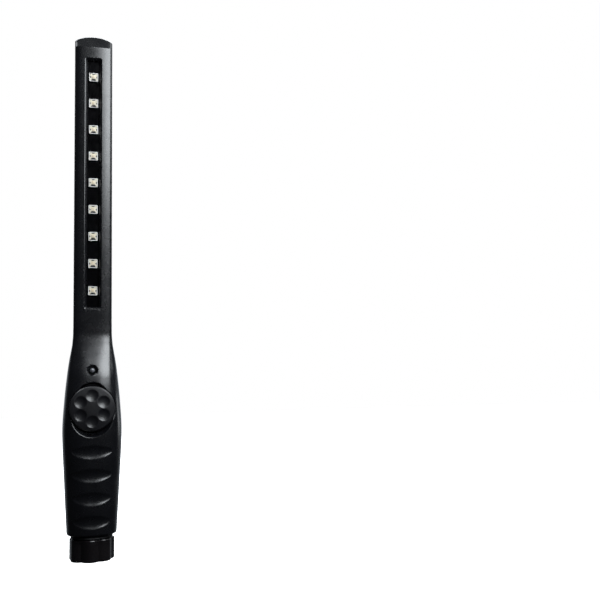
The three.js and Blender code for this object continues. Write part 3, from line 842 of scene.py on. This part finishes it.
cap_high = mm_box("end_cap")[1]
seal_low, seal_high = mm_box("seal_ring")
CAP_CREST = 15.75
LOBES = 7
LOBE_RADIUS = 6.7
FIRST_CREST = math.radians(-95)
CAP_TOP = 15.0
CAP_FLOOR = 3.2
CAP_FOOT, CAP_RIM = 0.9, 0.75  # rounding of the knob's lower and upper edges
SPIGOT_RADIUS = 11.8
SPIGOT_BORE = 10.0
THREAD_LEAD = 3.0
THREAD_DEPTH = 0.6
THREAD_START = 18.5
THREAD_TURNS = 2.5
SEAL_BORE = 12.6


def lobed(inset, points=336):
    """Radius and angle of the cap's outline, whose convex lobes meet in valleys."""
    valley = 0.35
    around = np.linspace(0, 2 * np.pi, points, endpoint=False)
    pitch = 2 * np.pi / LOBES
    off = (around - FIRST_CREST + pitch / 2) % pitch - pitch / 2
    centre, radius = CAP_CREST - LOBE_RADIUS, LOBE_RADIUS - inset

    def lobe(angle):
        return centre * np.cos(angle) + np.sqrt(np.clip(radius**2 - (centre * np.sin(angle)) ** 2, 0, None))

    return smooth_max(lobe(off), lobe(pitch - np.abs(off)), valley), around


def ring_at(radius, around, z):
    return np.column_stack([radius * np.cos(around), radius * np.sin(around), np.full(len(around), z)])


def end_cap():
    """A lobed knob with rounded rims, and the threaded spigot that screws into the collar."""
    around = lobed(0)[1]
    ring = lambda inset, z: ring_at(lobed(inset + SKIN)[0], around, z)
    plain = lambda radius, z: ring_at(np.full(len(around), radius), around, z)
    top = cap_high[2]
    quarter = np.linspace(0, np.pi / 2, 7)
    rings = [plain(r, z) for r, z in ((0.3, 0.7), (8.6, 0.7), (9.2, 0.55), (9.6, 0.05))]
    rings += [ring(1.5, SKIN)]
    rings += [ring(CAP_FOOT * (1 - math.sin(a)), SKIN + CAP_FOOT * (1 - math.cos(a))) for a in quarter]
    rings += [ring(0, z) for z in np.linspace(CAP_FOOT + 0.6, CAP_TOP - CAP_RIM - 0.3, 8)]
    rings += [ring(CAP_RIM * (1 - math.cos(a)), CAP_TOP - CAP_RIM * (1 - math.sin(a))) for a in quarter]
    rings += [ring(1.4, CAP_TOP), plain(SPIGOT_RADIUS + 0.3, CAP_TOP), plain(SPIGOT_RADIUS, CAP_TOP + 0.3)]
    rings += [plain(SPIGOT_RADIUS, z) for z in (17, 20, 23, 26, top - 0.6)]
    rings += [plain(SPIGOT_RADIUS - 0.5, top - SKIN), plain(SPIGOT_BORE + 0.3, top - SKIN)]
    rings += [plain(SPIGOT_BORE, top - 0.4), plain(SPIGOT_BORE, CAP_FLOOR + 0.3)]
    rings += [plain(SPIGOT_BORE - 0.3, CAP_FLOOR), plain(0.3, CAP_FLOOR)]
    knob = loft("end_cap_knob", rings)
    turns = np.linspace(0, THREAD_TURNS * 2 * np.pi, 150)
    crest = THREAD_DEPTH * np.clip(np.minimum(turns, turns[::-1]), 0.05, 1)  # fades out over a radian
    root, flank, land = SPIGOT_RADIUS - SKIN, 0.65, 0.25
    ridge = []
    for angle, height in zip(turns, crest):
        z = THREAD_START + THREAD_LEAD * angle / (2 * np.pi)
        lower = [(root - 0.3, z - flank), (root, z - flank), (root + height, z - land)]
        upper = [(root + height, z + land), (root, z + flank), (root - 0.3, z + flank)]
        ridge.append([(r * math.cos(angle), r * math.sin(angle), level) for r, level in lower + upper])
    return join(knob, loft("thread", ridge))


def seal_ring():
    """A rubber ring with two soft ridges."""
    inner, outer = SEAL_BORE, seal_high[0] - SKIN
    low, high = seal_low[2] + SKIN, seal_high[2] - SKIN
    profile = [(inner, low + 0.2), (inner + 0.2, low)]
    for share in np.linspace(0, 1, 25):
        groove = 0.22 * (1 - abs(math.sin(share * 2 * np.pi)))
        shoulder = 0.25 * (abs(share - 0.5) * 2) ** 6
        profile.append((outer - groove - shoulder, low + share * (high - low)))
    profile += [(inner + 0.2, high), (inner, high - 0.2)]
    return turned("seal_ring_lips", profile)


# ------------------------------------------------------------------ materials


class Shader:
    """A principled material, and short ways to add nodes that feed it."""

    def __init__(self, name, **constants):
        self.material = bpy.data.materials.new(name)
        self.material.use_nodes = True
        self.tree = self.material.node_tree
        self.surface = self.tree.nodes["Principled BSDF"]
        for socket, value in constants.items():
            self.surface.inputs[socket.replace("_", " ")].default_value = value
        self.place = self.add("TexCoord").outputs["Object"]

    def add(self, kind, inputs=None, **settings):
        node = self.tree.nodes.new(f"ShaderNode{kind}")
        for key, value in settings.items():
            setattr(node, key, value)
        for key, value in (inputs or {}).items():
            if isinstance(value, bpy.types.NodeSocket):
                self.tree.links.new(value, node.inputs[key])
            else:
                node.inputs[key].default_value = value
        return node

    def link(self, output, socket):
        self.tree.links.new(output, self.surface.inputs[socket])

    def noise(self, size, detail=3.0, stretch=(1, 1, 1)):
        """Noise whose features are about so many millimetres across."""
        place = self.add("Mapping", {"Vector": self.place, "Scale": stretch}).outputs[0]
        settings = {"Vector": place, "Scale": 1 / (size * MM), "Detail": detail}
        return self.add("TexNoise", settings).outputs[0]

    def spread(self, value, low, high, start=0.35, end=0.65):
        """A value between start and end, mapped to low and high."""
        limits = {"Value": value, "From Min": start, "From Max": end, "To Min": low, "To Max": high}
        return self.add("MapRange", limits).outputs[0]

    def mixed(self, share, first, second):
        values = {0: share, 6: first, 7: second}
        return self.add("Mix", values, data_type="RGBA").outputs[2]

    def relief(self, height, depth, strength=1.0, over=None):
        """Bump of a depth in millimetres."""
        inputs = {"Height": height, "Distance": depth * MM, "Strength": strength}
        if over is not None:
            inputs["Normal"] = over
        return self.add("Bump", inputs).outputs[0]


def moulded(name, dark, light, gloss, grain, worn, patch, **constants):
    """Moulded plastic or rubber: drifting tint, uneven gloss, fine texture and paler worn edges.

    gloss is the roughness at its lowest and highest, and grain is the texture's size and depth."""
    shader = Shader(name, **constants)
    tint = shader.mixed(shader.spread(shader.noise(patch, 4), 0, 1), (*dark, 1), (*light, 1))
    rough = shader.spread(shader.noise(patch * 0.4, 5), *gloss)
    if worn:
        edge = shader.spread(shader.add("NewGeometry").outputs["Pointiness"], 0, 1, 0.52, 0.62)
        broken = shader.spread(shader.noise(2.5, 4), 0, 0.8, 0.4, 0.7)
        share = shader.add("Math", {0: edge, 1: broken}, operation="MULTIPLY").outputs[0]
        tint = shader.mixed(share, tint, (*worn, 1))
    shader.link(tint, "Base Color")
    shader.link(rough, "Roughness")
    fine = shader.relief(shader.noise(grain[0], 2), grain[1])
    wave = shader.relief(shader.noise(patch * 0.6, 1), 0.012, 1.0, fine)
    shader.link(wave, "Normal")
    return shader.material


def metal(name, dark, light, gloss, stretch, size, depth):
    """Brushed or plated metal, with fine lines along the stretch."""
    shader = Shader(name, Metallic=1.0)
    lines = shader.noise(size, 4, stretch)
    spots = shader.noise(6, 3)
    shader.link(shader.mixed(shader.spread(spots, 0, 1), (*dark, 1), (*light, 1)), "Base Color")
    shader.link(shader.spread(lines, *gloss), "Roughness")
    shader.link(shader.relief(lines, depth), "Normal")
    return shader.material


def phosphor(name):
    """Pale yellow gel, a little cloudy, under a glossy coat."""
    shader = Shader(name, Roughness=0.22, Coat_Weight=0.4, Coat_Roughness=0.08)
    cloud = shader.spread(shader.noise(0.9, 3), 0, 1)
    shader.link(shader.mixed(cloud, (0.74, 0.62, 0.42, 1), (0.86, 0.78, 0.62, 1)), "Base Color")
    shader.link(shader.relief(shader.noise(0.5, 2), 0.006), "Normal")
    return shader.material


def control_green(name):
    """Green solder mask over a grid of tracks."""
    shader = Shader(name)
    tracks = shader.noise(1.6, 0, (1, 1, 0.15))
    share = shader.spread(tracks, 0, 1, 0.48, 0.52)
    shader.link(shader.mixed(share, (0.01, 0.06, 0.025, 1), (0.02, 0.11, 0.045, 1)), "Base Color")
    shader.link(shader.spread(shader.noise(4), 0.25, 0.4), "Roughness")
    shader.link(shader.relief(share, 0.03), "Normal")
    return shader.material


def wrapped_cell(name):
    """A cell's shrink wrap, with a paler band round one end and soft wrinkles."""
    shader = Shader(name, Metallic=0.35)
    height = shader.add("SeparateXYZ", {0: shader.place}).outputs["Z"]
    band = shader.spread(height, 0, 1, 0.062, 0.0622)
    tint = shader.mixed(shader.spread(shader.noise(5), 0, 1), (0.09, 0.115, 0.14, 1), (0.14, 0.17, 0.2, 1))
    shader.link(shader.mixed(band, tint, (0.42, 0.3, 0.12, 1)), "Base Color")
    shader.link(shader.spread(shader.noise(3), 0.2, 0.35), "Roughness")
    shader.link(shader.relief(shader.noise(3, 2, (1, 1, 0.2)), 0.05), "Normal")
    return shader.material


# Dark and light tint, gloss, grain, worn tint or None, patch size and shader constants.
MOULDED = {
    "shell_black": (
        (0.0028, 0.003, 0.004), (0.0042, 0.0044, 0.0058), (0.25, 0.29), (0.35, 0.004),
        (0.006, 0.006, 0.0075), 22.0, {"Specular_IOR_Level": 0.75},
    ),
    "button_black": (
        (0.0026, 0.0026, 0.004), (0.004, 0.004, 0.0058), (0.37, 0.42), (0.35, 0.004),
        (0.0055, 0.0055, 0.007), 22.0, {"Specular_IOR_Level": 0.7},
    ),
    "cap_black": (
        (0.0042, 0.0034, 0.004), (0.006, 0.005, 0.0056), (0.18, 0.26), (0.5, 0.004),
        (0.008, 0.007, 0.0075), 22.0, {"Specular_IOR_Level": 0.75},
    ),
    "seal_rubber": (
        (0.009, 0.009, 0.01), (0.016, 0.016, 0.017), (0.6, 0.75), (0.25, 0.02), None, 8.0, {},
    ),
    "led_board": (
        (0.0012, 0.0012, 0.0015), (0.0025, 0.0025, 0.003), (0.12, 0.2), (0.3, 0.002),
        None, 9.0, {"Specular_IOR_Level": 0.15},
    ),
    "component_black": (
        (0.014, 0.014, 0.015), (0.022, 0.022, 0.024), (0.45, 0.6), (0.3, 0.015), None, 6.0, {},
    ),
    "switch_grey": (
        (0.07, 0.074, 0.08), (0.09, 0.095, 0.1), (0.4, 0.55), (0.3, 0.015), None, 5.0, {},
    ),
    "wire_red": (
        (0.36, 0.015, 0.015), (0.46, 0.03, 0.025), (0.3, 0.42), (0.6, 0.01), None, 7.0, {},
    ),
    "wire_black": (
        (0.016, 0.016, 0.018), (0.026, 0.026, 0.028), (0.3, 0.42), (0.6, 0.01), None, 7.0, {},
    ),
    "indicator_lens": (
        (0.10, 0.105, 0.12), (0.16, 0.165, 0.18), (0.10, 0.16), (0.8, 0.004),
        None, 1.5, {"Coat_Weight": 0.6},
    ),
    "led_dark": (
        (0.006, 0.006, 0.007), (0.012, 0.012, 0.013), (0.3, 0.4), (0.3, 0.01), None, 2.0, {},
    ),
    "led_frame": (
        (0.90, 0.89, 0.87), (0.95, 0.94, 0.92), (0.25, 0.35), (0.4, 0.01), None, 2.0, {},
    ),
    "led_package": (
        (0.70, 0.64, 0.50), (0.80, 0.75, 0.62), (0.3, 0.42), (0.4, 0.015), None, 1.2, {},
    ),
}
# Dark and light tint, gloss, stretch of the lines, their width and their depth.
METALS = {
    "spreader_metal": ((0.66, 0.67, 0.69), (0.75, 0.76, 0.78), (0.25, 0.42), (1, 1, 0.04), 0.5, 0.004),
    "screw_steel": ((0.42, 0.42, 0.44), (0.55, 0.55, 0.57), (0.22, 0.38), (1, 1, 1), 0.8, 0.006),
    "contact_brass": ((0.66, 0.5, 0.25), (0.78, 0.62, 0.35), (0.2, 0.36), (0.3, 1, 1), 0.7, 0.005),
}
MATERIALS = {name: moulded(name, *look[:-1], **look[-1]) for name, look in MOULDED.items()}
MATERIALS |= {name: metal(name, *look) for name, look in METALS.items()}
for name, make in (("led_phosphor", phosphor), ("control_board", control_green), ("cell_can", wrapped_cell)):
    MATERIALS[name] = make(name)

# ------------------------------------------------------------------ the scene

camera()
studio()
floor()


def place(piece, look, body, slot, node):
    """Gives a piece its material and its body, and hides the CAD node that it stands for."""
    finish_piece(piece, MATERIALS[look], body, slot, [node])


place(front_shell(), "shell_black", "housing", "shell_black", "front_shell")
place(rear_shell(), "shell_black", "housing", "shell_black", "rear_shell")
place(power_button(), "button_black", "button", "button_black", "power_button")
place(end_cap(), "cap_black", "cap", "cap_black", "end_cap")
place(seal_ring(), "seal_rubber", "cap", "seal_rubber", "seal_ring")
place(led_board(), "led_board", "housing", "led_board", "led_board")
place(indicator(), "indicator_lens", "housing", "indicator_lens", "indicator_led")
for i in range(1, LED_COUNT + 1):
    for piece, look in led(i):
        place(piece, look, "housing", "led_package", f"led_{i}")
for i in range(1, len(SCREWS) + 1):
    place(screw(i), "screw_steel", "housing", "screw_steel", f"housing_screw_{i}")

for part in frame["record"]["subparts"]:
    node = frame["nodes"].get(part["node"])
    if node is not None and node.type == "MESH":
        for spot in node.material_slots:
            spot.material = MATERIALS[part["material_slot"]]
